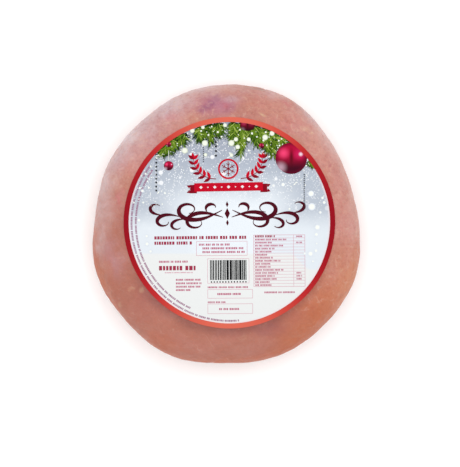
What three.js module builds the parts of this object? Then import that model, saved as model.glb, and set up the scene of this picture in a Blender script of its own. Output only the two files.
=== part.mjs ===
// A boneless smoked ham of about one kilogram, pressed into a thick uneven round,
// lying on its flat underside with a round printed label stuck over its crown.
// Millimetres, +Z up, +Y towards the label's upper edge. The origin is on the underside,
// in the middle of the ham's length and width.

import * as THREE from "three";

// Driving sizes
const hamRadius = 79.3; // mean radius of the outline from above
const hamHeight = 59; // crown above the surface it lies on
const waistHeight = 25; // height of the widest level
const labelRadius = 60;
const labelThickness = 0.5;
const labelGap = 0.3; // clear of the skin, so that the two solids never cross
const labelOffset = new THREE.Vector2(1.4, 1.0); // label's middle from the outline's middle

// Form of the outline: each lobe swells the radius by a share of it, strongest towards an angle
const outlineLobes = [
  { lobes: 1, share: 0.0179, towards: 268.1 },
  { lobes: 2, share: 0.0254, towards: 90.0 },
  { lobes: 3, share: 0.0184, towards: 83.6 },
  { lobes: 4, share: 0.0064, towards: 61.7 },
  { lobes: 5, share: 0.0031, towards: 60.2 },
  { lobes: 7, share: 0.0053, towards: 41.9 },
  { lobes: 8, share: 0.0064, towards: 21.0 },
];

// Form of the upright section: 2 is an ellipse, more is squarer
const crownSquareness = 3.2;
const baseSquareness = 2.6;
const squarenessChange = 0.25; // how much the crown's shoulder varies round the ham
const squarenessTowards = 40; // degrees, where the shoulder is squarest
const waistTilt = 2; // how far the widest level rises and falls round the ham
const waistTowards = 205; // degrees, where the widest level is highest
const baseSink = 1.6; // how much of the round base is pressed flat

// Soft swells of the meat under the skin
const swellSeed = 4127;
const swellCount = 14;
const swellLength = { least: 34, most: 92 };
const swellHeight = 1.5; // of all the swells together, about
const calmUnderLabel = 0.35; // share of the swells left under the label
const calmBand = 10; // width over which they grow back outside it
const flatBand = 12; // height over which they grow up from the flat base
const calmAtWaist = 0.25; // share left at the widest level, whose outline is given above

// Fineness of the facets
const hamSpokes = 96;
const hamRings = 40;
const labelSpokes = 72;
const labelRings = 9;

const radians = THREE.MathUtils.degToRad;

// Repeatable random numbers from 0 to 1
function makeRandom(seed) {
  const multiplier = 16807;
  const modulus = 2147483647;
  let state = seed;
  return () => {
    state = (state * multiplier) % modulus;
    return state / modulus;
  };
}

function makeSwells() {
  const random = makeRandom(swellSeed);
  const swells = [];
  for (let i = 0; i < swellCount; i++) {
    const upward = 2 * random() - 1;
    const heading = 2 * Math.PI * random();
    const level = Math.sqrt(1 - upward * upward);
    const reach = swellLength.most - swellLength.least;
    swells.push({
      direction: new THREE.Vector3(level * Math.cos(heading), level * Math.sin(heading), upward),
      length: swellLength.least + reach * random(),
      phase: 2 * Math.PI * random(),
    });
  }
  return swells;
}

const swells = makeSwells();
const swellLengths = swells.reduce((sum, swell) => sum + swell.length, 0);

// Height of the swells at a point, before the calm places are taken off
function swellAt(point) {
  let height = 0;
  for (const { direction, length, phase } of swells) {
    height += length * Math.sin((2 * Math.PI * point.dot(direction)) / length + phase);
  }
  return (2 * swellHeight * height) / swellLengths;
}

function outlineRadius(angle) {
  let share = 1;
  for (const lobe of outlineLobes) {
    share += lobe.share * Math.cos(lobe.lobes * (angle - radians(lobe.towards)));
  }
  return hamRadius * share;
}

function waistAt(angle) {
  return waistHeight + waistTilt * Math.cos(angle - radians(waistTowards));
}

function squarenessAt(angle, upper) {
  if (!upper) return baseSquareness;
  return crownSquareness + squarenessChange * Math.cos(2 * (angle - radians(squarenessTowards)));
}

// How much of the swells is kept at a point of the plain form
function swellShare(point, rise) {
  const fromLabel = Math.hypot(point.x - labelOffset.x, point.y - labelOffset.y) - labelRadius;
  const open = THREE.MathUtils.smoothstep(fromLabel, 0, calmBand);
  const onCrown = rise > 0 ? calmUnderLabel + (1 - calmUnderLabel) * open : 1;
  const nearWaist = calmAtWaist + (1 - calmAtWaist) * THREE.MathUtils.smoothstep(Math.abs(rise), 0, 0.6);
  return onCrown * nearWaist * THREE.MathUtils.smoothstep(point.z, 0, flatBand);
}

// A point of the skin. The angle goes round the ham, out is the share of the way to the outline,
// and rise the share of the way from the widest level to the crown, or to the base below zero.
function skinPoint(angle, out, rise, lift = 0) {
  const upper = rise >= 0;
  const radius = outlineRadius(angle);
  const waist = waistAt(angle);
  const depth = upper ? hamHeight - waist : waist + baseSink;
  const square = squarenessAt(angle, upper);
  const point = new THREE.Vector3(
    radius * out * Math.cos(angle),
    radius * out * Math.sin(angle),
    waist + depth * rise,
  );
  const sideways = Math.pow(out, square - 1) / radius;
  const upward = (Math.sign(rise) * Math.pow(Math.abs(rise), square - 1)) / depth;
  const normal = new THREE.Vector3(
    sideways * Math.cos(angle),
    sideways * Math.sin(angle),
    upward,
  ).normalize();
  const kept = swellShare(point, rise);
  point.addScaledVector(normal, kept * swellAt(point) + lift);
  point.z = Math.max(point.z, 0);
  return point;
}

// One ring of the skin's upright section, by its slope from the base to the crown
function ringPoint(angle, slope) {
  const square = squarenessAt(angle, slope >= 0);
  const across = Math.cos(slope);
  const upward = Math.sin(slope);
  const size = Math.pow(Math.pow(across, square) + Math.pow(Math.abs(upward), square), 1 / square);
  return skinPoint(angle, across / size, upward / size);
}

// Closed geometry from rings of equal length and a point at each end
function closedRings(firstPoint, rings, lastPoint) {
  const spokes = rings[0].length;
  const positions = [firstPoint, ...rings.flat(), lastPoint].flatMap((p) => [p.x, p.y, p.z]);
  const last = positions.length / 3 - 1;
  const faces = [];
  for (let j = 0; j < spokes; j++) {
    const next = (j + 1) % spokes;
    faces.push(0, 1 + next, 1 + j);
    for (let i = 0; i + 1 < rings.length; i++) {
      const low = 1 + i * spokes;
      const high = low + spokes;
      faces.push(low + j, low + next, high + next);
      faces.push(low + j, high + next, high + j);
    }
    faces.push(last, last - spokes + j, last - spokes + next);
  }
  const geometry = new THREE.BufferGeometry();
  geometry.setAttribute("position", new THREE.Float32BufferAttribute(positions, 3));
  geometry.setIndex(faces);
  geometry.computeVertexNormals();
  return geometry;
}

function hamGeometry() {
  const rings = [];
  for (let i = 1; i < hamRings; i++) {
    const slope = -Math.PI / 2 + (Math.PI * i) / hamRings;
    const ring = [];
    for (let j = 0; j < hamSpokes; j++) {
      ring.push(ringPoint((2 * Math.PI * j) / hamSpokes, slope));
    }
    rings.push(ring);
  }
  return closedRings(skinPoint(0, 0, -1), rings, skinPoint(0, 0, 1));
}

// A point of the label, by its distance and angle from the label's middle
function labelPoint(distance, heading, lift) {
  const x = labelOffset.x + distance * Math.cos(heading);
  const y = labelOffset.y + distance * Math.sin(heading);
  const angle = Math.atan2(y, x);
  const out = Math.hypot(x, y) / outlineRadius(angle);
  const square = squarenessAt(angle, true);
  const rise = Math.pow(1 - Math.pow(out, square), 1 / square);
  return skinPoint(angle, out, rise, lift);
}

function labelGeometry() {
  const under = [];
  const over = [];
  for (let i = 1; i <= labelRings; i++) {
    const distance = (labelRadius * i) / labelRings;
    const headings = Array.from({ length: labelSpokes }, (_, j) => (2 * Math.PI * j) / labelSpokes);
    under.push(headings.map((heading) => labelPoint(distance, heading, labelGap)));
    over.unshift(headings.map((heading) => labelPoint(distance, heading, labelGap + labelThickness)));
  }
  const middleUnder = labelPoint(0, 0, labelGap);
  const middleOver = labelPoint(0, 0, labelGap + labelThickness);
  return closedRings(middleUnder, [...under, ...over], middleOver);
}

const curedMeat = new THREE.MeshStandardMaterial({ color: 0xc78a7a, roughness: 0.5, metalness: 0 });
const printedPaper = new THREE.MeshStandardMaterial({ color: 0xdde3ea, roughness: 0.35, metalness: 0 });

const ham = new THREE.Mesh(hamGeometry(), curedMeat);
ham.name = "ham";

const label = new THREE.Mesh(labelGeometry(), printedPaper);
label.name = "label";

const smokedHam = new THREE.Group();
smokedHam.name = "smoked_ham";
smokedHam.add(ham, label);

// The origin goes to the middle of the ham's length and width
const hamBox = new THREE.Box3().setFromObject(ham);
const hamMiddle = hamBox.getCenter(new THREE.Vector3());
smokedHam.position.set(-hamMiddle.x, -hamMiddle.y, 0);

export default smokedHam;
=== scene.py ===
# A smoked ham with a round printed label over its crown, dressed for the render.
# Metres, +Z up, +Y towards the label's upper edge. Sizes named "Mm" are millimetres on the label.

import random
from math import atan2, cos, hypot, pi, radians, sin

import bpy
import numpy as np
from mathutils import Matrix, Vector, noise


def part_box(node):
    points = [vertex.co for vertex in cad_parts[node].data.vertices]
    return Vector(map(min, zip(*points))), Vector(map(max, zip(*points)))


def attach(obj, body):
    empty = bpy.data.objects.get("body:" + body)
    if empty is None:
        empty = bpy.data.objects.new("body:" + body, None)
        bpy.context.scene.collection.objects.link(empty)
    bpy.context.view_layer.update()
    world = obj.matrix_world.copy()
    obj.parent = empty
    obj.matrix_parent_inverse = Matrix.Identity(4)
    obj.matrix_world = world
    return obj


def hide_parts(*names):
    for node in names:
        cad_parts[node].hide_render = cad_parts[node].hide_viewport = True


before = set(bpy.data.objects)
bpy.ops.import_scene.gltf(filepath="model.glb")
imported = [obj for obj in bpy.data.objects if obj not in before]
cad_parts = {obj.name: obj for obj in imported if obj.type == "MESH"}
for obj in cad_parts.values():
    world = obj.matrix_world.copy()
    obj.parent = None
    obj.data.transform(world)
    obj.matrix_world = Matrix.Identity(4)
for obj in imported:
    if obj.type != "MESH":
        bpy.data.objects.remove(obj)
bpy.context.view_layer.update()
mm = 0.001
scene = bpy.context.scene
print("frame loaded:", sorted(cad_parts))

# ham form, the same named sizes as the solid

hamForm = {
    "radius": 0.0793,  # mean radius of the outline from above
    "height": 0.059,
    "waistHeight": 0.025,  # height of the widest level
    "waistTilt": 0.002,
    "waistTowards": 205,  # degrees, where the widest level is highest
    "baseSink": 0.0016,  # how much of the round base is pressed flat
    "crownSquareness": 3.2,  # 2 is an ellipse, more is squarer
    "baseSquareness": 2.6,
    "squarenessChange": 0.25,
    "squarenessTowards": 40,
    "lobes": [  # count, share of the radius, degrees where it is strongest
        (1, 0.0179, 268.1), (2, 0.0254, 90), (3, 0.0184, 83.6), (4, 0.0064, 61.7),
        (5, 0.0031, 60.2), (7, 0.0053, 41.9), (8, 0.0064, 21),
    ],
    "swellSeed": 4127,
    "swellCount": 14,
    "swellLength": (0.034, 0.092),
    "swellHeight": 0.0015,
    "calmUnderLabel": 0.35,
    "calmBand": 0.01,
    "calmAtWaist": 0.25,
    "flatBand": 0.012,
}

labelForm = {
    "radius": 0.0598,
    "offset": (0.0016, 0.0008),  # label's middle from the outline's middle
    "under": 0.05 * mm,  # underside above the skin
    "over": 0.3 * mm,  # upper face above the skin
    "edgeLift": 0.4 * mm,  # how far the loosest stretch of the edge stands off
    "edgeBand": 0.009,  # width over which it lifts
    "spokes": 216,
    "rings": 44,
}


def pointing(turn):
    return np.array([np.cos(turn), np.sin(turn)])


def smoothStep(value, low, high):
    share = np.clip((value - low) / (high - low), 0, 1)
    return share * share * (3 - 2 * share)


def makeSwells():
    multiplier, modulus = 16807, 2147483647
    state = hamForm["swellSeed"]
    draws = []
    for _ in range(4 * hamForm["swellCount"]):
        state = state * multiplier % modulus
        draws.append(state / modulus)
    upward, heading, reach, phase = np.reshape(draws, (-1, 4)).T
    upward = 2 * upward - 1
    level = np.sqrt(1 - upward * upward) * pointing(2 * pi * heading)
    shortest, longest = hamForm["swellLength"]
    return np.vstack([level, upward]), shortest + (longest - shortest) * reach, 2 * pi * phase


swells = makeSwells()


def swellAt(points):
    directions, lengths, phases = swells
    waves = lengths * np.sin(2 * pi * (points @ directions) / lengths + phases)
    return 2 * hamForm["swellHeight"] * waves.sum(axis=-1) / lengths.sum()


def outlineRadius(angle):
    share = 1.0
    for lobes, strength, towards in hamForm["lobes"]:
        share = share + strength * np.cos(lobes * (angle - radians(towards)))
    return hamForm["radius"] * share


def squareness(angle, upper):
    turn = 2 * (angle - radians(hamForm["squarenessTowards"]))
    crown = hamForm["crownSquareness"] + hamForm["squarenessChange"] * np.cos(turn)
    return np.where(upper, crown, hamForm["baseSquareness"])


def fromLabel(points):
    x, y = labelForm["offset"]
    return np.hypot(points[..., 0] - x, points[..., 1] - y)


def swellShare(points, rise):
    opened = smoothStep(fromLabel(points) - labelForm["radius"], 0, hamForm["calmBand"])
    calm = hamForm["calmUnderLabel"]
    onCrown = np.where(rise > 0, calm + (1 - calm) * opened, 1.0)
    waist = hamForm["calmAtWaist"]
    nearWaist = waist + (1 - waist) * smoothStep(np.abs(rise), 0, 0.6)
    return onCrown * nearWaist * smoothStep(points[..., 2], 0, hamForm["flatBand"])


def skinAt(angle, out, rise, lift=0.0):
    # out is the share of the way to the outline, rise the share from the waist to crown or base
    upper = rise >= 0
    radius = outlineRadius(angle)
    waist = hamForm["waistHeight"]
    waist = waist + hamForm["waistTilt"] * np.cos(angle - radians(hamForm["waistTowards"]))
    depth = np.where(upper, hamForm["height"] - waist, waist + hamForm["baseSink"])
    square = squareness(angle, upper)
    east, north = pointing(angle)
    points = np.stack([radius * out * east, radius * out * north, waist + depth * rise], axis=-1)
    sideways = out ** (square - 1) / radius
    upward = np.sign(rise) * np.abs(rise) ** (square - 1) / depth
    outward = np.stack([sideways * east, sideways * north, upward], axis=-1)
    outward = outward / np.linalg.norm(outward, axis=-1, keepdims=True)
    stand = swellShare(points, rise) * swellAt(points) + lift
    points = points + outward * stand[..., None]
    points[..., 2] = np.maximum(points[..., 2], 0)
    return points, outward


def crownRise(angle, out):
    square = squareness(angle, True)
    return (1 - np.minimum(out, 1) ** square) ** (1 / square)


def skinUnder(x, y, lift=0.0):
    # the crown's skin at a place seen from above, measured from the outline's middle
    angle = np.arctan2(y, x)
    out = np.minimum(np.hypot(x, y) / outlineRadius(angle), 0.995)
    return skinAt(angle, out, crownRise(angle, out), lift)


def newObject(name, data):
    made = bpy.data.objects.new(name, data)
    scene.collection.objects.link(made)
    return made


def newPiece(name, points, faces, materials, slots=None, smooth=True):
    mesh = bpy.data.meshes.new(name)
    mesh.from_pydata(points.tolist(), [], faces)
    for material in materials:
        mesh.materials.append(material)
    if slots is not None:
        mesh.polygons.foreach_set("material_index", slots)
    mesh.polygons.foreach_set("use_smooth", [smooth] * len(mesh.polygons))
    mesh.update()
    return newObject(name, mesh)


def closedRings(first, rings, last):
    # points and faces of a closed skin, from rings of equal length and a point at each end
    count = len(rings[0])
    points = np.vstack([first, *rings, last])
    top = len(points) - 1
    faces = []
    for j in range(count):
        k = (j + 1) % count
        faces.append((0, 1 + k, 1 + j))
        for low in range(1, top - count, count):
            faces.append((low + j, low + k, low + count + k, low + count + j))
        faces.append((top, top - count + j, top - count + k))
    return points, faces


# camera

photoView = {
    "imageSize": (460, 467),  # pixels
    "labelMiddle": (228.92, 222.12),  # pixels, right and down
    "pixelsPerMetre": 1761.7,  # at the height of the label's edge
    "distance": 1.2,  # camera above the label's edge
    "sensorMm": 36.0,  # along the image's longer side
}


def placeCamera():
    low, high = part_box("label")
    width, height = photoView["imageSize"]
    labelX, labelY = photoView["labelMiddle"]
    perMetre = photoView["pixelsPerMetre"]
    focal = perMetre * photoView["distance"]
    camera = newObject("camera", bpy.data.cameras.new("camera"))
    camera.data.sensor_width = photoView["sensorMm"]
    camera.data.lens = focal * photoView["sensorMm"] / max(width, height)
    camera.location = (
        (low.x + high.x) / 2 + (width / 2 - labelX) / perMetre,
        (low.y + high.y) / 2 + (labelY - height / 2) / perMetre,
        low.z + photoView["distance"],
    )
    scene.camera = camera


placeCamera()
print("camera placed")

# shader helpers


def wired(operation):
    # an operator of the class below, and its reflected form
    def plain(self, other):
        return self.shader.maths(operation, self, other)

    def reflected(self, other):
        return self.shader.maths(operation, other, self)

    return plain, reflected


class Wire:  # one output of a shader node, so that shader maths reads as Python
    def __init__(self, shader, socket):
        self.shader = shader
        self.socket = socket

    __add__, __radd__ = wired("ADD")
    __sub__, __rsub__ = wired("SUBTRACT")
    __mul__, __rmul__ = wired("MULTIPLY")
    __truediv__, __rtruediv__ = wired("DIVIDE")

    def ease(self, low, high, start=0.0, end=1.0):
        # from start to end, softly, as the value goes from low to high
        inputs = {"Value": self, 1: low, 2: high, 3: start, 4: end}
        return self.shader.add("MapRange", {"interpolation_type": "SMOOTHSTEP"}, inputs)

    def axis(self, name):
        return self.shader.add("SeparateXYZ", {}, {"Vector": self}, output=name)

    def length(self):
        return self.shader.add("VectorMath", {"operation": "LENGTH"}, {0: self}, output="Value")


class Shader:  # a material, its colour so far and the few ways its nodes are made
    def __init__(self, name, colour=None, palette=None):
        self.material = bpy.data.materials.new(name)
        self.material.use_nodes = True
        self.tree = self.material.node_tree
        self.tree.nodes.clear()
        self.place = self.add("TexCoord", output="Object")
        self.colour = colour
        self.palette = palette

    def add(self, kind, settings=None, inputs=None, output=0):
        node = self.tree.nodes.new("ShaderNode" + kind)
        for key, value in (settings or {}).items():
            if key == "stops":
                self.setStops(node.color_ramp, value)
            else:
                setattr(node, key, value)
        for key, value in (inputs or {}).items():
            if isinstance(value, Wire):
                self.tree.links.new(value.socket, node.inputs[key])
            else:
                node.inputs[key].default_value = value
        return Wire(self, node.outputs[output]) if node.outputs else None

    def setStops(self, ramp, stops):
        while len(ramp.elements) < len(stops):
            ramp.elements.new(1.0)
        for element, (position, colour) in zip(ramp.elements, stops):
            element.position = position
            element.color = colour

    def maths(self, operation, first, second):
        pair = [first, second]
        kind = "Math"
        if any(isinstance(x, Wire) and x.socket.type in ("VECTOR", "RGBA") for x in pair):
            pair = [(x, x, x) if isinstance(x, (int, float)) else x for x in pair]
            kind = "VectorMath"
        return self.add(kind, {"operation": operation}, dict(enumerate(pair)))

    def grain(self, size, detail=2.0, rough=0.5, place=None, twist=0.0):
        inputs = {"Vector": place or self.place, "Scale": 1 / size, "Detail": detail}
        return self.add("TexNoise", {}, {**inputs, "Roughness": rough, "Distortion": twist})

    def spot(self, place, middle, reach, soft):
        # 1 in the middle of an egg, fading to 0 at its reach
        return ((place - tuple(middle)) / tuple(reach)).length().ease(1.0, 1.0 - soft)

    def bump(self, height, distance, strength, under=None):
        inputs = {"Height": height, "Distance": distance, "Strength": strength}
        if under is not None:
            inputs["Normal"] = under
        return self.add("Bump", {}, inputs)

    def paint(self, colour, share):
        # a layer over the colour so far, by its name in the palette or as it is
        if isinstance(colour, str):
            colour = self.palette[colour]
        inputs = {0: share, 6: self.colour, 7: colour}
        self.colour = self.add("Mix", {"data_type": "RGBA"}, inputs, output=2)

    def darken(self, kept, share):
        self.paint(self.colour * kept, share)

    def finish(self, rough, gloss=0.5, more=None):
        look = {"Base Color": self.colour, "Roughness": rough, "Specular IOR Level": gloss}
        surface = self.add("BsdfPrincipled", {}, {**look, **(more or {})})
        self.add("OutputMaterial", {}, {"Surface": surface})
        return self.material


lightLevel = 1.34  # how much brighter a surface shows than its own colour, under these lights


def tint(red, green, blue):
    # a surface colour from the colour it shows, 0 to 255 as on a screen
    shown = [x / 255 for x in (red, green, blue)]
    linear = [x / 12.92 if x <= 0.04045 else ((x + 0.055) / 1.055) ** 2.4 for x in shown]
    return (*(min(x / lightLevel, 1.0) for x in linear), 1.0)


def tints(colours):
    return {name: tint(*shown) for name, shown in colours.items()}


# the ham's skin

hamMesh = {
    "spokes": 616,
    "slopes": [(-90, -63, 9), (-63, 44, 134), (44, 90, 15)],  # degrees from, to, rings
    "lump": (0.021, 0.00042),  # size and height of soft lumps
    "ripple": (0.006, 0.00015),
    "crease": (0.011, 0.0006),  # spacing and depth of the folds
    "creasePlace": (17.5, 78.0),  # Mm from the label's middle, where the skin is most creased
    "creaseReach": 0.02,
    "pleat": (0.0085, 0.00032),  # spacing and depth of the upright pleats low on the side
    "pleatBand": (0.004, 0.021),  # heights between which they show
    "bendSeed": 12,  # of the noise that bends the folds, else seeded by the clock
    "bareFrom": (-0.001, 0.004),  # past the label's edge, where the relief grows in
    "baseBand": (0.0006, 0.006),  # heights over which it grows in above the base
}


def slopeRings():
    slopes = []
    for start, end, count in hamMesh["slopes"]:
        slopes.extend(start + (end - start) * i / count for i in range(1, count + 1))
    return [radians(x) for x in slopes if x < 90]


def labelSpot(rightMm, upMm):
    # a place on the ham's own skin, given from the label's middle as seen from above
    x, y = labelForm["offset"]
    return skinUnder(np.array([rightMm * mm + x]), np.array([upMm * mm + y]))[0][0]


def reliefAt(point, creaseMiddle):
    lumpSize, lumpHeight = hamMesh["lump"]
    rippleSize, rippleHeight = hamMesh["ripple"]
    creaseSize, creaseDepth = hamMesh["crease"]
    place = Vector(point)
    lump = noise.fractal(place / lumpSize, 1.0, 2.0, 2)
    ripple = noise.fractal(place / rippleSize + Vector((7, 3, 5)), 0.9, 2.0, 3)
    bent = place + 0.004 * noise.noise_vector(place / 0.018)
    line = 1 - min(abs(noise.noise(bent / creaseSize + Vector((2, 9, 4)))) * 4.5, 1)
    near = 1 - min((place - creaseMiddle).length / hamMesh["creaseReach"], 1)
    elsewhere = max(noise.noise(place / 0.036 + Vector((5, 1, 8))) - 0.16, 0) * 2.2
    crease = line * line * min(1.6 * near + elsewhere, 1)
    return lump * lumpHeight + ripple * rippleHeight - crease * creaseDepth - pleatAt(bent)


def pleatAt(place):
    # upright pleats where the pressed meat draws in towards its base
    pleatSize, pleatDepth = hamMesh["pleat"]
    low, high = hamMesh["pleatBand"]
    share = min(max((high - place.z) / (high - low), 0), 1)
    if share == 0:
        return 0.0
    upright = Vector((place.x, place.y, place.z * 0.18)) / pleatSize
    line = 1 - min(abs(noise.noise(upright + Vector((6, 2, 1)))) * 3.6, 1)
    gather = max(noise.noise(place / 0.03 + Vector((1, 7, 3))) + 0.25, 0)
    return line * line * share * gather * pleatDepth


def makeHam():
    spokes = hamMesh["spokes"]
    angle = np.linspace(0, 2 * pi, spokes, endpoint=False)
    creaseMiddle = Vector(labelSpot(*hamMesh["creasePlace"]))
    noise.seed_set(hamMesh["bendSeed"])
    rings = []
    for slope in slopeRings():
        square = squareness(angle, slope >= 0)
        across, upward = cos(slope), sin(slope)
        size = (across**square + abs(upward) ** square) ** (1 / square)
        points, outward = skinAt(angle, across / size, upward / size)
        bare = smoothStep(fromLabel(points) - labelForm["radius"], *hamMesh["bareFrom"])
        bare = np.where(points[:, 2] < hamForm["waistHeight"], 1.0, bare)
        bare = bare * smoothStep(points[:, 2], *hamMesh["baseBand"])
        relief = np.array([reliefAt(p, creaseMiddle) if b > 0 else 0 for p, b in zip(points, bare)])
        rings.append(points + outward * (bare * relief)[:, None])
    zero = np.zeros(1)
    base, crown = (skinAt(zero, zero, zero + end)[0][0] for end in (-1, 1))
    points, faces = closedRings(base, rings, crown)
    low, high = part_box("ham")
    middle = (points.min(axis=0) + points.max(axis=0)) / 2
    shift = np.array([(low.x + high.x) / 2 - middle[0], (low.y + high.y) / 2 - middle[1], 0.0])
    piece = newPiece("ham_skin", points + shift, faces, [None])
    return piece, shift


# the marks of the ham's skin: place right and up of the label's middle, reach along each axis,
# all in millimetres, then the colour and how much of it shows in the middle. The pale haze, lilac
# and sheen marks by the rim are painted sheen, the umber marks round the label's edge and the
# grey-brown mark on the top rim are painted shade, and the darker brown marks just outside the
# label's lower and left edge make the skin darker there
skinMarks = [
    (-46, 50, 26, 24, 20, "mauve", 0.42), (-62, 54, 32, 32, 24, "haze", 0.92),
    (-38, 75, 36, 17, 22, "haze", 0.84), (-79, 12, 15, 38, 22, "haze", 0.4),
    (-72, 10, 10, 36, 20, "haze", 0.2), (-66, -22, 13, 16, 18, "lilac", 0.38),
    (-62, -9, 6, 12, 12, "brown", 0.45), (-12, 79, 32, 13, 20, "haze", 0.62),
    (-34, 65, 20, 13, 18, "frost", 0.5), (-72, 27, 15, 18, 20, "haze", 0.5),
    (-75, -12, 9, 11, 12, "haze", 0.3), (-69, -24, 6, 8, 10, "smoke", 0.28),
    (36, -66, 13, 8, 12, "smoke", 0.32), (-72, -27, 9, 12, 12, "fibre", 0.1),
    (-37, 64.5, 14, 10, 12, "frost", 0.44), (-49, 56, 13, 12, 12, "frost", 0.4),
    (-62.5, 38, 10, 12, 12, "frost", 0.55), (-7, 72, 12, 5, 8, "frost", 0.4),
    (13, 73, 18, 12, 15, "lilac", 0.25), (26, 74, 14, 8, 12, "haze", 0.42),
    (48, 61, 16, 13, 14, "haze", 0.5), (7, 61.5, 26, 8, 13, "umber", 0.28),
    (39, 50, 14, 11, 12, "umber", 0.14), (51, 43, 12, 12, 12, "tan", 0.35),
    (24, -61, 16, 8, 14, "umber", 0.7), (38, -52.5, 16, 10, 14, "umber", 0.7),
    (-41, -49, 13, 10, 14, "burnt", 0.25), (66, 56, 23, 23, 22, "bloom", 0.85),
    (69, 33, 12, 15, 16, "bloom", 0.4), (66, 58, 22, 26, 16, "haze", 0.3),
    (-42, 72, 24, 16, 16, "haze", 0.24), (-74, 40, 12, 16, 14, "haze", 0.26),
    (-68, -12, 7, 8, 12, "lilac", 0.22), (33, 56, 16, 9, 10, "blush", 0.22),
    (-48, -41.5, 11, 17, 20, "burnt", 0.5), (18, -62, 30, 7, 20, "burnt", 0.32),
    (-62.5, 1, 7, 18, 20, "burnt", 0.22), (76, 6, 22, 40, 24, "bloom", 0.55),
    (18.5, 71, 17, 12, 17, "smoke", 0.2), (52, -53, 46, 40, 40, "smoke", 0.78),
    (70, -34, 26, 36, 30, "amber", 0.8), (-72, -34, 15, 18, 24, "smoke", 0.22),
    (-40, -69, 20, 12, 14, "ember", 0.4), (40, -70, 18, 12, 14, "ember", 0.4),
    (-79, -14, 8, 14, 14, "ember", 0.26), (-10, 68, 21, 12, 16, "bruise", 0.75),
    (-4, 67, 10, 8, 10, "bruise", 0.55), (-14.2, 65.4, 6.4, 3.4, 6, "vein", 0.65),
    (-10.6, 68.4, 5, 3.2, 6, "vein", 0.75), (-6.4, 71.6, 4.8, 3.2, 6, "vein", 0.5),
    (-0.8, 65.2, 4.6, 6, 5, "vein", 0.35), (-2.4, 66.4, 3.4, 3.4, 4, "blush", 0.5),
    (1.6, 70.8, 6.4, 4.4, 6, "frost", 0.5), (17.5, 77.2, 14, 2.8, 6, "soot", 0.55),
    (46, 63, 22, 12, 16, "frost", 0.4), (-54.7, 47.8, 6.5, 5, 6, "haze", 0.55),
    (-63, 39.5, 4.5, 4.5, 5, "frost", 0.4), (-63.5, 13.2, 2.8, 7, 5, "blush", 0.5),
    (-61, 17, 2.4, 4, 4, "blush", 0.3), (-33, 60.5, 6, 4, 5, "blush", 0.3),
    (33, 68.5, 6, 3.6, 6, "blush", 0.5), (19.9, 62.4, 4.6, 2.8, 4, "cream", 0.7),
    (43.1, 54.5, 5.4, 2.4, 4, "cream", 0.65), (46.5, 52, 3.2, 2.2, 3, "cream", 0.65),
    (-49.4, -38.2, 2.8, 2, 4, "cream", 0.35), (-56.2, -38.4, 2.6, 1.8, 4, "cream", 0.22),
    (-62.5, -47.1, 3, 2, 4, "cream", 0.22), (63.9, -26.7, 1.8, 1.5, 3, "cream", 0.28),
    (53.3, 50, 2.2, 1.7, 3, "red", 0.6), (57.3, 32.4, 2, 1.7, 3, "red", 0.65),
    (66, -20, 2.4, 1.6, 3, "red", 0.45),
]

skinColours = tints({
    "rose": (208, 143, 131), "tan": (203, 137, 117), "brown": (184, 114, 95),
    "pink": (208, 143, 138), "smoke": (198, 108, 64), "amber": (214, 137, 97),
    # the haze, the pale and warm sheens and the lilac are colours of painted sheen
    "bloom": (226, 178, 166), "haze": (228, 206, 208), "frost": (208, 180, 184),
    # the first colour on the next line makes the skin darker just outside the label's edge
    "burnt": (164, 88, 78), "lilac": (198, 152, 162), "mauve": (180, 140, 146),
    # the umber on the next line is painted shade round the label's edge
    "umber": (166, 104, 106), "bruise": (188, 122, 144), "vein": (156, 92, 122),
    # the grey-brown first on the next line is painted shade along the top rim
    "soot": (150, 128, 118), "ember": (192, 90, 38), "blush": (208, 112, 114),
    "cream": (228, 192, 152), "fibre": (222, 178, 158), "red": (176, 88, 92),
})

skinGrain = {
    "turn": radians(34),  # the way the meat's fibres run
    "strand": (0.011, 0.0017, 0.0034),  # length, width and depth of a strand
    "muscle": 0.0115,  # size of the muscle's bundles
    "edgeShade": (60.2, 66.5),  # Mm from the label's middle, where the skin is darker below it
    "broadMm": 10,  # marks with a longer reach fade wider, and the pale ones are patchy
}


def labelPlace(shader):
    # coordinates on the label in millimetres, right and up of its middle
    x, y = labelForm["offset"]
    return (shader.place - (rowShift[0] + x, rowShift[1] + y, 0.0)) * (1 / mm)


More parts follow.
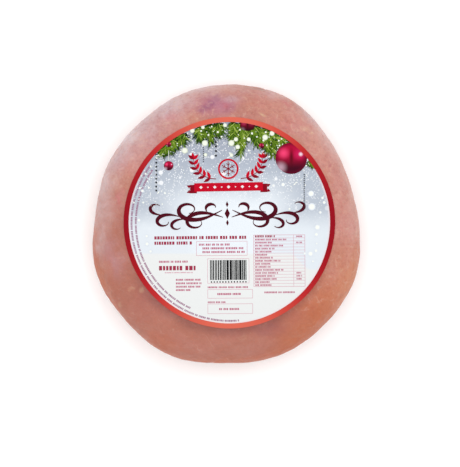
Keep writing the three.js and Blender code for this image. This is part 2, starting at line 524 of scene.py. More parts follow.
def hamMaterial():
    skin = Shader("curedMeat", skinColours["rose"], skinColours)
    east, north, up = (skin.place.axis(name) for name in "XYZ")
    wander = skin.grain(0.012, 3, 0.6, twist=0.4)
    drift = skin.place + (wander - 0.5) * 0.012

    # broad colour: pinker above, smoked towards the base, and browner below, partly the meat's own
    # colour and partly painted shade on the side away from the light
    cloud = skin.grain(0.03, 4, 0.55, twist=0.8)
    skin.paint("tan", cloud.ease(0.36, 0.64))
    lower = (north * 0.85 + east * 0.5 + (cloud - 0.5) * 0.03).ease(0.014, -0.048)
    skin.paint("brown", lower * 0.95)
    side = (up + (wander - 0.5) * 0.02).ease(0.047, 0.028)
    smoky = skin.grain(0.024, 3, 0.6, twist=1.0).ease(0.36, 0.68)
    skin.paint("smoke", side * (0.4 + 0.22 * smoky + 0.33 * lower))
    warm = (north + (cloud - 0.5) * 0.02).ease(0.028, -0.015)
    warm = warm * up.ease(0.0465, 0.038) * up.ease(0.016, 0.034, 0.35, 1.0)
    skin.paint("ember", warm * 0.81)

    # bundles of muscle, strands and thin pale seams of fat between them
    bundle = {"Vector": drift, "Scale": 1 / skinGrain["muscle"], "Smoothness": 0.6}
    bundles = skin.add("TexVoronoi", {"feature": "SMOOTH_F1"}, bundle, output="Color")
    shade = bundles.axis("X")
    skin.paint("pink", shade.ease(0.45, 0.85) * (0.24 - 0.14 * lower))
    skin.darken((0.92, 0.88, 0.88), shade.ease(0.5, 0.15) * 0.45)
    turned = {"Vector": drift, "Angle": skinGrain["turn"]}
    along = skin.add("VectorRotate", {"rotation_type": "Z_AXIS"}, turned)
    strand = skin.grain(1.0, 3, 0.6, place=along / skinGrain["strand"])
    skin.darken((0.92, 0.89, 0.88), strand.ease(0.52, 0.34) * 0.65)
    skin.paint("fibre", strand.ease(0.6, 0.76) * 0.26)
    seam = skin.maths("ABSOLUTE", skin.grain(0.013, 3, 0.55, twist=1.6) - 0.5, 0)
    seams = seam.ease(0.016, 0.002) * skin.grain(0.02, 2, 0.5).ease(0.5, 0.64)
    skin.paint("cream", seams * (0.18 - 0.1 * lower))

    patchy = skin.grain(0.0085, 4, 0.65, twist=1.0).ease(0.34, 0.66, 0.76, 1.24)
    for rightMm, upMm, *reach, name, share in skinMarks:
        broad = max(reach) > skinGrain["broadMm"]
        middle = labelSpot(rightMm, upMm) + rowShift
        spot = skin.spot(drift, middle, [x * mm for x in reach], 1.0 if broad else 0.9) * share
        # the broad marks of painted sheen are broken into patches
        if broad and name in ("haze", "frost", "bloom", "lilac"):
            spot = spot * patchy
        skin.paint(name, spot)

    # mottles and specks, stronger where the skin is pinker
    pinker = 1 - lower * 0.9
    mottle = skin.grain(0.0046, 3, 0.65, twist=0.8)
    skin.darken((0.91, 0.83, 0.84), mottle.ease(0.47, 0.36) * pinker * 0.7)
    skin.paint("fibre", mottle.ease(0.56, 0.68) * pinker * 0.38)
    specks = skin.grain(0.0021, 2, 0.6).ease(0.48, 0.38)
    skin.darken((0.94, 0.87, 0.87), specks * pinker * 0.9)
    skin.paint("cream", skin.grain(0.0032, 2, 0.6, twist=0.6).ease(0.68, 0.8) * 0.2)
    pores = skin.grain(0.0016, 3, 0.7).ease(0.36, 0.62)
    skin.darken(0.95, 1 - pores)

    # a soft shade where the skin meets the label's lower edge
    near, far = skinGrain["edgeShade"]
    away = (labelPlace(skin) * (1.0, 1.0, 0.0)).length() + (cloud - 0.5) * 5.0
    edge = away.ease(far, near) * north.ease(-0.016, -0.05) * up.ease(0.03, 0.038)
    skin.darken((0.72, 0.68, 0.74), edge)

    # a moist film that dries in patches, thinner low on the side
    film = skin.grain(0.0065, 4, 0.62, twist=1.2)
    relief = skin.bump(pores * 0.35 + strand * 0.5, 0.00016, 0.5)
    look = {
        "Subsurface Weight": 0.12,
        "Subsurface Radius": (1.0, 0.35, 0.22),
        "Subsurface Scale": 0.003,
        "Coat Weight": film.ease(0.38, 0.66, 0.2, 0.75) * up.ease(0.034, 0.047, 0.3, 1.0),
        "Coat Roughness": 0.27,
        "Coat IOR": 1.38,
        "Normal": skin.bump(film, 0.0009, 0.45, under=relief),
    }
    return skin.finish(film.ease(0.3, 0.7, 0.46, 0.62), 0.18, look)


ham, rowShift = makeHam()
ham.data.materials[0] = hamMaterial()
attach(ham, "root")
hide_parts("ham")
print("ham made:", len(ham.data.polygons), "faces")

# the label's sheet


def edgeLiftAt(distance, heading):
    # the edge stands off the skin most along its lower side, in slow waves
    lower = 0.5 - 0.5 * np.sin(heading + 0.25)
    wave = 0.5 + 0.5 * np.sin(5 * heading + 1.1) * np.sin(2 * heading - 0.6)
    edge = labelForm["radius"]
    share = smoothStep(distance, edge - labelForm["edgeBand"], edge)
    return labelForm["edgeLift"] * share * lower * (0.4 + 0.6 * wave)


def onSheet(rightMm, upMm, lift):
    # points above the skin that follow the sheet, from the label's middle
    right, up = rightMm * mm, upMm * mm
    lifted = lift + edgeLiftAt(np.hypot(right, up), np.arctan2(up, right))
    points, _ = skinUnder(right + labelForm["offset"][0], up + labelForm["offset"][1], lifted)
    return points + rowShift


def makeSheet(material):
    count, rings = labelForm["spokes"], labelForm["rings"]
    heading = np.linspace(0, 2 * pi, count, endpoint=False)
    radiusMm = labelForm["radius"] / mm
    under, over = [], []
    for i in range(1, rings + 1):
        place = radiusMm * i / rings * pointing(heading)
        under.append(onSheet(*place, labelForm["under"]))
        over.insert(0, onSheet(*place, labelForm["over"]))
    first, last = (onSheet(*np.zeros((2, 1)), labelForm[side])[0] for side in ("under", "over"))
    points, faces = closedRings(first, [*under, *over], last)
    return newPiece("label_sheet", points, faces, [material])


sheetColours = tints({
    "top": (154, 161, 177), "haze": (179, 188, 201), "glow": (231, 238, 244),
    "foot": (231, 233, 232), "snow": (246, 248, 250), "edge": (240, 226, 230),
    "cut": (186, 44, 46),  # the red that reaches over the sheet's cut edge
})


def paperMaterial():
    paper = Shader("printedPaper", sheetColours["haze"], sheetColours)
    spread = labelPlace(paper)
    right, up = spread.axis("X"), spread.axis("Y")
    height = up + (paper.grain(0.018, 3, 0.5) - 0.5) * 10
    paper.paint("top", height.ease(22, 50))
    glow = height.ease(30, 8) * (0.1 + 0.9 * (right * right).ease(2000, 80))
    paper.paint("glow", paper.maths("MAXIMUM", glow, height.ease(12, -6) * 0.85))
    level = up + right.ease(34, 46) * 9.0  # the snow's edge sinks towards the right
    paper.paint("foot", level.ease(-16.8, -18.4))

    # fine snow, then larger soft flakes, thinning out downwards
    thinning = up.ease(-14, 30)
    dust = paper.add("TexVoronoi", {}, {"Vector": spread, "Scale": 0.95}, output="Distance")
    snow = dust.ease(0.4, 0.2) * paper.grain(0.0035, 2, 0.5).ease(0.38, 0.54) * thinning
    flake = {"Vector": spread + (3.0, 7.0, 0.0), "Scale": 0.17}
    away = paper.add("TexVoronoi", {}, flake, output="Distance")
    pick = paper.add("TexVoronoi", {}, flake, output="Color").axis("X")
    flakes = (pick.ease(0.35, 1.0, 0.0, 0.26) - away).ease(-0.02, 0.07) * thinning
    paper.paint("snow", paper.maths("MAXIMUM", snow, flakes * 0.9))

    out = (spread * (1.0, 1.0, 0.0)).length()
    paper.paint("edge", out.ease(55.8, 57.0) * up.ease(36, 16) * 0.85)
    paper.paint("cut", out.ease(59.1, 59.3))
    fibre = paper.grain(0.0006, 3, 0.6)
    relief = paper.bump(fibre, 0.00004, 0.4)
    coat = {"Coat Weight": 0.12, "Coat Roughness": 0.18, "Normal": relief}
    return paper.finish(fibre.ease(0.3, 0.7, 0.4, 0.52), 0.2, coat)


sheet = makeSheet(paperMaterial())
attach(sheet, "root")
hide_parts("label")
print("label sheet made")

# print on the label


def makeInks(colours):
    return [Shader(name, shown).finish(0.6, 0.03) for name, shown in tints(colours).items()]


printShift = (-0.1, -0.3)  # Mm, how far the print sits off the middle of the cut sheet
inkFoot = -0.01  # Mm, height of the foot of an ink's edge, just inside the sheet


class Print:  # thin shapes of ink, gathered in label millimetres and then laid on the sheet
    def __init__(self, name, inks, turn=0.0, shift=printShift):
        self.name = name
        self.inks = inks
        self.turn = radians(turn)
        self.shift = shift
        self.corners = []
        self.faces = []
        self.slots = []
        self.count = 0

    def strip(self, line, widths, lift, ink=0, across=1, closed=False):
        # a thin band along a line, cut across into so many stripes
        line = np.array(line, float)
        step = np.gradient(line, axis=0)
        if closed:
            step = np.roll(line, -1, axis=0) - np.roll(line, 1, axis=0)
        step = step / np.linalg.norm(step, axis=1, keepdims=True)
        aside = np.stack([-step[:, 1], step[:, 0]], axis=1)
        widths = np.broadcast_to(np.array(widths, float), len(line))
        rails = np.linspace(-0.5, 0.5, across + 1)
        flat = line[:, None] + aside[:, None] * (widths[:, None] * rails)[..., None]
        over, under = (
            np.dstack([side, np.full(side.shape[:2], height)])
            for side, height in ((flat, lift), (flat[:, ::-1], inkFoot))
        )
        self.corners.append(np.hstack([over, under]).reshape(-1, 3))
        self.wrap(len(line), 2 * (across + 1), ink, closed)

    def wrap(self, rows, around, ink, closed):
        # faces round the strip, whose every row is a closed ring of corners, and at its ends
        faces = []
        for i in range(rows if closed else rows - 1):
            low, high = i * around, (i + 1) % rows * around
            for j in range(around):
                k = (j + 1) % around
                faces.append((low + j, high + j, high + k, low + k))
        if not closed:
            end = (rows - 1) * around
            for j in range(around // 2 - 1):
                k = around - 1 - j
                faces.append((k - 1, k, j, j + 1))
                faces.append((end + k, end + k - 1, end + j + 1, end + j))
        self.faces.extend(tuple(self.count + x for x in face) for face in faces)
        self.slots.extend([ink] * len(faces))
        self.count += rows * around

    def bar(self, start, end, width, lift, ink=0):
        # a straight bar, cut finely enough to follow the crown
        start, end = np.array(start, float), np.array(end, float)
        cuts = max(int(np.linalg.norm(end - start) / 2.5), 1)
        line = [start + (end - start) * i / cuts for i in range(cuts + 1)]
        self.strip(line, width, lift, ink, across=max(int(width / 1.5), 1))

    def frame(self, left, bottom, right, top, width, lift, ink=0):
        for y in (bottom, top):
            self.bar((left, y), (right, y), width, lift, ink)
        for x in (left, right):
            self.bar((x, bottom), (x, top), width, lift, ink)

    def dot(self, middle, radius, lift, ink=0, steps=6, across=1, tall=1.0):
        turn = [pi * (i + 0.35) / (steps + 0.7) for i in range(steps + 1)]
        line = [(middle[0] - radius * cos(x), middle[1]) for x in turn]
        self.strip(line, [2 * radius * tall * sin(x) for x in turn], lift, ink, across)

    def lay(self):
        right, up, lift = np.vstack(self.corners).T
        cosine, sine = cos(self.turn), sin(self.turn)
        across = right * cosine - up * sine + self.shift[0]
        along = right * sine + up * cosine + self.shift[1]
        points = onSheet(across, along, lift * mm + labelForm["over"])
        piece = newPiece(self.name, points, self.faces, self.inks, self.slots, smooth=False)
        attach(piece, "root")
        print("printed:", self.name, len(piece.data.polygons), "faces")


# the ring round the label's edge

ringPrint = {
    "middleMm": 58.35,
    "wideMm": 2.8,
    "lift": 0.22,
    "steps": 240,
    # from the sides to the top and foot
    "reds": [(152, 12, 28), (172, 26, 34), (192, 44, 46), (210, 76, 64), (224, 106, 86)],
}


def ringMaterial():
    ring = Shader("ringInk")
    spread = labelPlace(ring)
    right, up = spread.axis("X"), spread.axis("Y")
    steep = up * up / (right * right + up * up)
    last = len(ringPrint["reds"]) - 1
    stops = [(i / last, tint(*shown)) for i, shown in enumerate(ringPrint["reds"])]
    ring.colour = ring.add("ValToRGB", {"stops": stops}, {"Fac": steep}, output="Color")
    grain = ring.bump(ring.grain(0.0008, 2), 0.00003, 0.3)
    return ring.finish(0.5, 0.04, {"Normal": grain})


def printRing():
    ring = Print("label_ring", [ringMaterial()], shift=(0, 0))
    steps = ringPrint["steps"]
    line = [ringPrint["middleMm"] * pointing(2 * pi * i / steps) for i in range(steps)]
    ring.strip(line, ringPrint["wideMm"], ringPrint["lift"], across=2, closed=True)
    ring.lay()


printRing()

# fir garland across the top

garlandPrint = {
    "seed": 61,
    "sprays": [  # degrees round the label, how deep it hangs in Mm, how far its twigs fan out
        (128, 9.5, 26), (123.5, 12, 32), (117.5, 11, 32), (106.5, 11.5, 30),
        (101, 14.5, 32), (96, 11, 28), (88.5, 13, 28), (84, 18, 26), (80, 21.5, 26),
        (75, 13, 30), (69.5, 16.5, 30), (65.5, 17.5, 30), (60, 12.5, 34), (55.5, 8.5, 30),
        (37.5, 1.2, 20),
    ],
    "rootMm": 56.8,
    "twigs": 5,
    "needleMm": (3.0, 5.6),
    "needlesPerMm": 5.2,  # of a twig's length
    "needleWidthMm": 0.46,
    "shadeMm": 3.4,  # width of the dark between a twig's needles
    "edgeMm": 58.2,  # no needle reaches past this
    "lift": (0.03, 0.15),
    "snow": 260,
    "flakes": [  # blurred flakes of light: right and up in Mm, radius
        (-25.1, 41, 1.7), (-13.8, 45.2, 1.7), (1.2, 45.2, 1.7), (4.8, 43, 1.3),
        (3.8, 47.3, 1.2), (11, 47.3, 1.1), (20.3, 48.4, 1.6), (24.2, 50.7, 1.4),
        (-14.9, 54.2, 1), (-20.9, 52.3, 1.3), (-2.4, 55.4, 1.1), (1.2, 38.4, 1.1),
        (-13.4, 38.6, 1), (46.2, 16.6, 1.7), (46.6, 9.2, 2.1), (52.6, 14.2, 0.8),
        (53.6, 11.6, 0.9), (51.4, 6, 0.8), (49.8, -2.4, 1.6), (49.2, -6.4, 1.1),
        (30.4, 21.7, 1.1), (-49, 18.2, 0.9), (-51, 1.6, 0.9), (-46.6, -7.4, 0.8),
        (-46.4, -11.8, 1.1), (-44.4, -16, 0.9), (45.9, -17.3, 1.5), (49, -15.6, 1),
        (42.6, -17.2, 0.7), (47.2, -21.6, 0.7), (49.4, -11.6, 0.6),
    ],
    "warmAbove": 25,  # Mm, the height from which the flakes are ivory instead of white
    "snowEdgeMm": 57.0,  # the dots thin out from here inwards
    "snowSpreadMm": 11.0,
    "emblemBox": (24.5, 16, 37),  # half its width, foot and top in Mm, left free of dots
}

firInks = makeInks({
    "firDark": (14, 30, 6), "firDeep": (36, 64, 12), "firLeaf": (60, 94, 16),
    "firBright": (108, 138, 36), "firPale": (164, 184, 88), "twigBark": (56, 44, 24),
})


def drawTwig(garland, draw, start, heading, length):
    look = garlandPrint
    steps = 7
    bend = draw.uniform(-0.5, 0.5)
    spine = [start]
    for i in range(steps):
        spine.append(spine[-1] + pointing(heading + bend * i / steps) * length / steps)
    lowest, highest = look["lift"]
    shades = [look["shadeMm"] * (1 - 0.11 * i) for i in range(steps)]
    garland.strip(spine[:-1], shades, lowest - 0.01, across=2)
    garland.strip(spine, [0.5 - 0.045 * i for i in range(steps + 1)], lowest, 5)
    wide = look["needleWidthMm"]
    small = min(0.5 + length / 8, 1)  # a small twig has small needles
    for _ in range(8 + int(length * look["needlesPerMm"])):
        share = draw.random() ** 0.9
        root = spine[min(int(share * steps), steps - 1)]
        root = root + (spine[-1] - spine[0]) / steps * draw.random()
        lean = draw.choice((-1, 1)) * draw.uniform(0.15, 1.3) * (1 - 0.35 * share)
        reach = draw.uniform(*look["needleMm"]) * (1 - 0.1 * share) * small
        way = pointing(heading + bend * share + lean) * reach
        if max(hypot(*root), hypot(*(root + way))) > look["edgeMm"]:
            continue
        height = draw.random()
        ink = min(int(height**2.6 * 3.6 + draw.random()), 4)
        lift = lowest + (highest - lowest) * height
        needle = [root, root + way * 0.45, root + way]
        garland.strip(needle, [0.5 * wide, wide, 0.15 * wide], lift, ink)


def printGarland():
    draw = random.Random(garlandPrint["seed"])
    garland = Print("fir_garland", firInks)
    for place, depth, fan in garlandPrint["sprays"]:
        along = radians(place)
        inward = -pi / 2 + (pi / 2 - along) * 0.45
        for i in range(garlandPrint["twigs"]):
            lean = 2 * i / (garlandPrint["twigs"] - 1) - 1
            start = garlandPrint["rootMm"] * pointing(along + draw.uniform(-0.035, 0.035))
            length = depth * (1 - 0.35 * abs(lean)) * draw.uniform(0.88, 1.02)
            drawTwig(garland, draw, start, inward + radians(fan) * lean, max(length - 3.0, 1.0))
    garland.lay()


snowInks = makeInks({
    "snowInk": (246, 249, 242), "flakeEdge": (216, 224, 204), "flakeMiddle": (243, 247, 232),
    "paleEdge": (228, 234, 242),
})


def isBare(x, y, radius):
    # neither on a bauble nor in the emblem's box
    for (right, up), reach, *_ in baublePrint.values():
        if hypot(x - right, y - up) < reach + radius:
            return False
    halfWidth, low, high = garlandPrint["emblemBox"]
    return abs(x) > halfWidth or not low <= y <= high


def printSnow():
    draw = random.Random(garlandPrint["seed"] + 1)
    snow = Print("snow_dots", snowInks)
    made = 0
    while made < garlandPrint["snow"]:
        along = radians(draw.uniform(12, 168))
        away = garlandPrint["snowEdgeMm"] - abs(draw.gauss(0, garlandPrint["snowSpreadMm"]))
        x, y = away * pointing(along)
        radius = 0.2 + 0.38 * draw.random() ** 4
        if away + radius < garlandPrint["rootMm"] and isBare(x, y, radius):
            snow.dot((x, y), radius, 0.17)
            made += 1
    for x, y, radius in garlandPrint["flakes"]:
        edge, middle = (1, 2) if y > garlandPrint["warmAbove"] else (3, 0)
        snow.dot((x, y), radius, 0.175, edge, steps=12, across=2)
        snow.dot((x, y), radius * 0.72, 0.18, middle, steps=12, across=2)
    snow.lay()


# baubles and bead strings

baublePrint = {  # middle, radius, lift and string in Mm, height to width, brightness
    "bauble_large": ((35.0, 36.6), 8.9, 0.2, 0, 1.0, 1.0),
    "bauble_small": ((-34.2, 32.4), 2.65, 0.2, 5.5, 1.0, 1.0),
    "bauble_top": ((10.3, 55.2), 4.3, 0.16, 0, 0.72, 0.45),
    "bauble_side": ((18.2, 43.6), 1.6, 0.16, 0, 1.0, 0.8),
    "bauble_end": ((-34.3, 44.6), 1.6, 0.16, 0, 1.0, 0.8),
}
glassSpots = [  # on a ball of radius 1: place, reach right and up, colour and its share
    ((0.52, 0.26), (0.5, 0.5), (212, 30, 96), 0.8),
    ((-0.47, 0.33), (0.5, 0.5), (244, 66, 116), 1.0),
    ((0.02, 0.05), (0.2, 0.85), (84, 0, 16), 0.85),
    ((-0.66, -0.58), (0.52, 0.52), (196, 160, 176), 0.9),
    ((0.62, 0.27), (0.19, 0.19), (250, 226, 238), 1.0),
]


def baubleMaterial(name, middle, radius, light):
    glass = Shader(name + "_ink", tint(180, 8, 56))
    shifted = (middle[0] + printShift[0], middle[1] + printShift[1], 0.0)
    ball = (labelPlace(glass) - shifted) * (1 / radius, 1 / radius, 0.0)
    glass.paint(tint(66, 0, 26), ball.axis("Y").ease(0.38, -0.68))
    glass.paint(tint(96, 0, 32), ball.length().ease(0.7, 1.0) * 0.75)
    for place, reach, shown, share in glassSpots:
        glass.paint(tint(*shown), glass.spot(ball, (*place, 0.0), (*reach, 1.0), 1.0) * share)
    glass.colour = glass.colour * light
    return glass.finish(0.5, 0.04)


def printBaubles():
    inks = makeInks({"silverInk": (206, 206, 212), "threadInk": (222, 226, 218)})
    trim = Print("bauble_trim", inks)
    for name, ((x, y), radius, lift, string, tall, light) in baublePrint.items():
        ball = Print(name, [baubleMaterial(name, (x, y), radius, light)])
        ball.dot((x, y), radius, lift, 0, 26, max(int(radius), 2), tall)
        ball.lay()
        if string:
            top = y + radius + max(0.16 * radius, 0.4)
            trim.bar((x, y + radius - 0.1), (x, top), 0.34 * radius, 0.19)
            trim.bar((x, top), (x, top + string), 0.32, 0.185, 1)
    trim.lay()


beadPrint = [  # right and top in Mm, spacing, radius of a bead, how many
    (-41.2, 38.6, 2.25, 0.55, 10),
    (-14.6, 44, 1.15, 0.3, 9),
    (-7.5, 48.5, 2.6, 0.6, 5),
    (42.3, 27.4, 1.15, 0.34, 18),
]


def printBeads():
    inks = makeInks({"beadInk": (44, 44, 48), "threadPale": (176, 180, 188)})
    beads = Print("bead_strings", inks)
    for x, top, pitch, radius, count in beadPrint:
        beads.bar((x, top + 1), (x, top - (count - 1) * pitch), 0.1, 0.02, 1)
        for i in range(count):
            beads.dot((x, top - i * pitch), radius, 0.165)
    beads.lay()


printGarland()
printSnow()
printBaubles()
printBeads()

# emblem: a ribbon with lozenges, two sprays of laurel and a snow star in a ring

emblemPrint = {
    "turn": 1.0,  # degrees that the emblem and the flourish stand askew
    "ribbon": (0.0, 20.4),  # middle in Mm
    "ribbonMm": (23.6, 4.8, 4.2, 0.9),  # half its width, height, length of the tails, their drop
    "lozenges": (9, 3.9),  # how many, and their spacing
    "star": (0.0, 30.6),
    "starMm": 5.3,  # radius of the ring round the star
    "leaves": 7,
    "leafMm": (4.4, 3.8),  # length at the foot and at the tip of a spray
    "leafWidthMm": 1.65,
}
emblemInks = makeInks({
    "crimsonInk": (196, 8, 38), "crimsonDark": (134, 4, 28), "whiteInk": (240, 236, 238),
})


def drawRibbon(emblem):
    x, y = emblemPrint["ribbon"]
    half, height, fold, drop = emblemPrint["ribbonMm"]
    emblem.bar((x - half + fold, y), (x + half - fold, y), height, 0.06)
    low = y - drop
    for side in (-1, 1):
        outer = x + side * (half - 1.8)
        emblem.bar((x + side * (half - fold - 1.5), low), (outer, low), height, 0.03, 1)
        for k in (-1, 1):
            tip = (x + side * half, low + k * height * 0.42)
            emblem.strip([(outer, low + k * height * 0.27), tip], [height * 0.46, 0.15], 0.03, 1)
    count, pitch = emblemPrint["lozenges"]
    for i in range(count):
        middle = x + (i - (count - 1) / 2) * pitch
        wide = 0.95 if i % 2 == 0 else 0.45
        line = [(middle - wide, y), (middle, y), (middle + wide, y)]
        emblem.strip(line, [0.1, 1.9 * wide, 0.1], 0.08, 2)


def drawLeaf(emblem, stem, way, length, ink):
    shares = [i / 5 for i in range(6)]
    line = [stem + pointing(way) * length * share for share in shares]
    wide = emblemPrint["leafWidthMm"]
    emblem.strip(line, [0.15 + wide * sin(pi * share**0.8) for share in shares], 0.05, ink)


def drawSpray(emblem, side):
    # a stem that rises from the ribbon beside the star, with leaves on both sides of it
    foot, tip = emblemPrint["leafMm"]
    last = emblemPrint["leaves"] - 1
    turns = [pi / 2 * i / last for i in range(last + 1)]
    bend = [(side * (7.0 + 12.6 * sin(x)), 4.6 + 11.4 * (1 - cos(x))) for x in turns]
    stems = np.array(bend) + emblemPrint["ribbon"]
    emblem.strip(stems, [0.5 - 0.04 * i for i in range(last + 1)], 0.04, 1)
    for i, stem in enumerate(stems):
        rise = stems[min(i + 1, last)] - stems[max(i - 1, 0)]
        heading = atan2(rise[1], rise[0])
        length = foot + (tip - foot) * i / last
        for lean, ink in ((-side * 0.72, 1), (side * 0.95, 0)) if i else ():
            drawLeaf(emblem, stem, heading + lean, length, ink)
    drawLeaf(emblem, stems[-1], heading, tip, 0)


def drawStar(emblem):
    middle = np.array(emblemPrint["star"])
    radius = emblemPrint["starMm"]
    ring = [middle + radius * pointing(2 * pi * i / 36) for i in range(36)]
    emblem.strip(ring, 1.0, 0.05, closed=True)
    for i in range(6):
        turn = pi * (i / 3 + 0.5)
        ray = pointing(turn) * radius
        emblem.strip([middle, middle + ray * 0.78], [0.55, 0.45], 0.05, 1)
        knee = middle + ray * 0.42
        for k in (-1, 1):
            barb = pointing(turn + k * 0.9) * radius * 0.26
            emblem.strip([knee, knee + barb], [0.4, 0.3], 0.055, 1)


def printEmblem():
    emblem = Print("emblem", emblemInks, emblemPrint["turn"])
    drawRibbon(emblem)
    for side in (-1, 1):
        drawSpray(emblem, side)
    drawStar(emblem)
    emblem.lay()


printEmblem()

# a mirrored flourish of scroll strokes in the title's place

flourishPrint = {
    "middle": (-1.0, 5.4),
    "stretch": (1.13, 0.8),
    "hairMm": 0.4,
    "strokes": [  # start right and up, heading in degrees, length, turn in degrees, curl, nib in Mm
        (2.2, -2.6, 26, 35, -330, 2.2, 1.9),
        (2.6, 2.4, -36, 44, 395, 2.3, 2.1),
        (24, -1.6, 22, 23, -300, 1.9, 1.75),
        (21.5, -3.4, -4, 15, -235, 1.8, 1.35),
        (10.2, 1.6, 70, 10.5, 215, 1.5, 1.45),
        (33, -0.2, 8, 14.5, 225, 1.6, 1.45),
    ],
    "lozenges": [(0.0, 1.5, 3.0), (5.2, 0.8, 1.6), (-5.2, 0.8, 1.6)],  # height, half sizes
}


def scrollStroke(x, y, heading, length, turn, curl, nib):
    # a pen line that turns faster and faster into its curl, and swells in the middle
    steps = max(int(length * 1.5), 14)
    line, widths = [np.array([x, y])], [flourishPrint["hairMm"]]
    for i in range(steps):
        way = heading + turn * ((i + 0.5) / steps) ** curl
        line.append(line[-1] + pointing(radians(way)) * length / steps)
        swell = sin(pi * min(1.05 * (i + 1) / steps, 1)) ** 1.3
        widths.append(flourishPrint["hairMm"] + nib * swell)
    return np.array(line) * flourishPrint["stretch"], widths


def printFlourish():
    inks = makeInks({"maroonInk": (78, 8, 26)})
    flourish = Print("title_flourish", inks, emblemPrint["turn"])
    middle = np.array(flourishPrint["middle"])
    for i, stroke in enumerate(flourishPrint["strokes"]):
        line, widths = scrollStroke(*stroke)
        for side in (-1, 1):
            flourish.strip(line * (side, 1) + middle, widths, 0.06 + 0.012 * i)
    for y, wide, tall in flourishPrint["lozenges"]:
        line = np.array([(0, y - tall), (0, y), (0, y + tall)]) + middle
        flourish.strip(line, [0.1, 2 * wide, 0.1], 0.06)
    flourish.lay()


printFlourish()

# small print: plain blocks in the place of words

smallInks = makeInks({
    "roseInk": (190, 108, 132), "wineInk": (160, 50, 76), "lineInk": (214, 160, 174),
    "greyRoseInk": (160, 116, 142),
})
smallPrint = {
    "turn": 0.4,  # degrees that all the small print stands askew
    "seed": 17,
    "rows": [  # left, right, base and height in Mm, ink
        (-42.3, 9.6, -9, 1.75, 1), (-42.3, -20.3, -12, 1.75, 1), (-17.2, 1, -12.7, 1.15, 0),
        (-15.2, 8.2, -14.8, 1.15, 0), (-15.2, 8.6, -16.9, 1.15, 0), (-39.8, -23.3, -22.2, 1.15, 0),
        (-39.8, -17.8, -26.5, 2.5, 1), (-36.5, -20.5, -28.1, 0.6, 2), (-30.3, -15.6, -32.4, 1.05, 0),
        (-30.3, -15.2, -34.4, 1.05, 0), (-30.3, -16.4, -36.3, 1.05, 0), (-30.3, -21, -38.2, 1.05, 0),
        (-12.4, 11, -36.7, 1, 0), (-7, 7, -40.6, 1.15, 0), (-12.4, -2, -45.1, 0.95, 0),
        (-6, 6, -49.1, 1.15, 0), (19.6, 36.8, -39.8, 1, 0),
    ],
    "curved": [(55.2, 144, 276), (52.8, 145, 246)],  # Mm from the middle, degrees from and to
    # left, bottom, right and top in Mm
    "boxes": [(-18.6, -18.3, 10, -10.3), (-12.4, -42.4, 12.9, -37.5), (-12.4, -51.1, 12.9, -45.6)],
}


def blockRow(printed, draw, start, length, height, ink, place=None):
    # a row of plain blocks in groups, straight or along a curve
    place = place or (lambda along: (start[0] + along, start[1] + height / 2))
    at = 0.0
    while at < length - height * 0.7:
        for _ in range(draw.randint(2, 9)):
            wide = height * draw.uniform(0.4, 0.78)
            if at + wide > length:
                break
            printed.strip([place(at), place(at + wide)], height, 0.03, ink)
            at += wide + height * 0.22
        at += height * 0.5


def printSmall():
    draw = random.Random(smallPrint["seed"])
    small = Print("small_print", smallInks, smallPrint["turn"])
    for left, right, base, height, ink in smallPrint["rows"]:
        blockRow(small, draw, (left, base), right - left, height, ink)
    for away, first, last in smallPrint["curved"]:

        def along(distance, away=away, first=first):
            return away * pointing(radians(first) + distance / away)

        blockRow(small, draw, None, radians(last - first) * away, 1.05, 3, along)
    for box in smallPrint["boxes"]:
        small.frame(*box, 0.22, 0.02, 2)
    small.lay()


tablePrint = {
    "seed": 23,
    "edges": (13.7, -36.0, 42.6, -6.9),  # left, bottom, right and top in Mm
    "column": 36.2,
    "rows": 17,
    "filled": (0, 2, 12, 13, 14),  # rows with a number in the second column
}


def printTable():
    draw = random.Random(tablePrint["seed"])
    table = Print("table_print", smallInks, smallPrint["turn"])
    left, bottom, right, top = tablePrint["edges"]
    column, rows = tablePrint["column"], tablePrint["rows"]
    table.frame(left, bottom, right, top, 0.24, 0.02, 2)
    table.bar((column, bottom), (column, top), 0.2, 0.02, 2)
    for i in range(rows):
        base = top - (top - bottom) * (i + 1) / rows
        if i + 1 < rows:
            table.bar((left, base), (right, base), 0.18, 0.02, 2)
        length, height, ink = (draw.uniform(7, 18), 0.9, 0) if i else (12.0, 1.1, 1)
        blockRow(table, draw, (left + 0.8, base + 0.4), length, height, ink)
        if i in tablePrint["filled"]:
            blockRow(table, draw, (column + 1.6, base + 0.4), 3.4, 0.85, 0)
    table.lay()


barPrint = {
    "seed": 31,
    "edges": (-12.4, -33.9, 11.0, -20.1),  # left, bottom, right and top of the frame in Mm
    "across": (-11.0, 9.4),
    "upright": (-32.1, -20.9),
    "wideMm": (0.5, 0.7, 1.0, 1.35),
    "gapMm": (0.25, 0.3, 0.42),
    "blocks": (13, -10.6, 1.62, -33.2),  # below the bars: how many, first, spacing and height
}


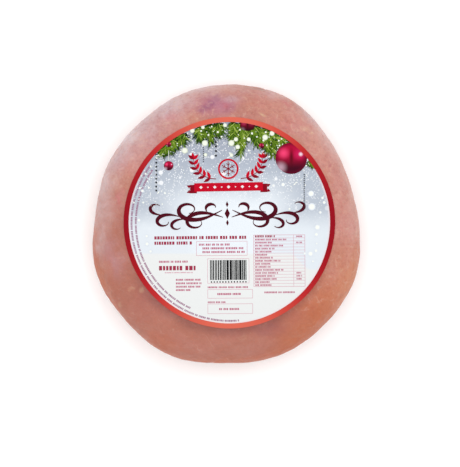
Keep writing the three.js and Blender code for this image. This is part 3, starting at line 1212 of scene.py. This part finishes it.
def printBars():
    draw = random.Random(barPrint["seed"])
    inks = [*makeInks({"barInk": (24, 24, 26)}), smallInks[2]]
    bars = Print("bar_print", inks, smallPrint["turn"])
    at, end = barPrint["across"]
    low, high = barPrint["upright"]
    while at < end:
        wide = draw.choice(barPrint["wideMm"])
        bars.bar((at + wide / 2, low), (at + wide / 2, high), wide, 0.03)
        at += wide + draw.choice(barPrint["gapMm"])
    count, first, pitch, y = barPrint["blocks"]
    for i in range(count):
        x = first + i * pitch
        bars.strip([(x, y), (x + 0.7, y)], 0.8, 0.03)
    bars.frame(*barPrint["edges"], 0.2, 0.02, 1)
    bars.lay()


printSmall()
printTable()
printBars()

# floor and lights

floorLook = {"half": 3.0, "colour": (0.97, 0.97, 0.97, 1.0), "cloud": (0.95, 0.95, 0.95, 1.0)}
lightLook = {  # place, size, power and colour
    "overhead": ((0.05, 0.1, 1.5), (1.6, 1.6), 15.7, (1.0, 0.99, 0.98)),
    "leftSheen": ((-0.95, 0.75, 0.6), (1.2, 1.0), 9.0, (0.88, 0.92, 1.0)),
    "rightSheen": ((1.0, 0.7, 0.5), (1.0, 0.8), 4.5, (1.0, 0.97, 0.94)),
    "frontSheen": ((-0.3, -1.2, 0.35), (1.2, 0.5), 2.2, (1.0, 0.98, 0.96)),
}
worldLook = {"Color": (0.985, 0.99, 1.0, 1.0), "Strength": 0.91}


def makeFloor():
    half = floorLook["half"]
    corners = half * np.array([(-1, -1, 0), (1, -1, 0), (1, 1, 0), (-1, 1, 0)])
    pale = Shader("paleFloor", floorLook["colour"])
    pale.paint(floorLook["cloud"], pale.grain(0.4, 2))
    floor = newPiece("floor", corners, [(0, 1, 2, 3)], [pale.finish(0.8)])


def makeLights():
    for name, (place, size, power, colour) in lightLook.items():
        light = bpy.data.lights.new(name, "AREA")
        light.shape = "RECTANGLE"
        light.size, light.size_y = size
        light.energy = power
        light.color = colour
        lamp = newObject(name, light)
        lamp.location = place
        aim = Vector((0, 0, 0.03)) - lamp.location
        lamp.rotation_euler = aim.to_track_quat("-Z", "Y").to_euler()
        lamp.visible_camera = False
        lamp.visible_diffuse = not name.endswith("Sheen")  # the low lights only gloss the moist skin
    scene.world = bpy.data.worlds.new("studio")
    scene.world.use_nodes = True
    for name, value in worldLook.items():
        scene.world.node_tree.nodes["Background"].inputs[name].default_value = value


makeFloor()
makeLights()
scene.view_settings.view_transform = "Standard"
print("floor and lights made")
